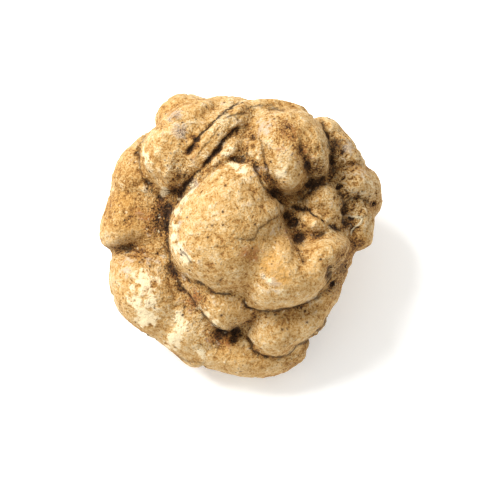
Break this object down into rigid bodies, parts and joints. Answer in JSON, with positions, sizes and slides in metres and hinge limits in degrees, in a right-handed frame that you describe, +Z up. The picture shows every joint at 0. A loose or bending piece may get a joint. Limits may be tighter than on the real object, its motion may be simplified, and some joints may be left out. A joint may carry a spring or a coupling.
{
  "type": "white truffle",
  "caption": "Whole white truffle: one knobbly, lobed lump of fungus that rests on a small flat spot.",
  "frame": {"origin": "on the plane of the flat spot it rests on, under the middle of the bounding box", "axes": "+Z up out of the flat spot, -Y the front that the crown leans towards, +X to the right, along the width"},
  "size_m": [0.06, 0.057, 0.0456],
  "materials": {
    "skin": "matt, pale ochre, with soil in the creases"
  },
  "bodies": {
    "root": {"truffle": "skin"}
  },
  "joints": []
}
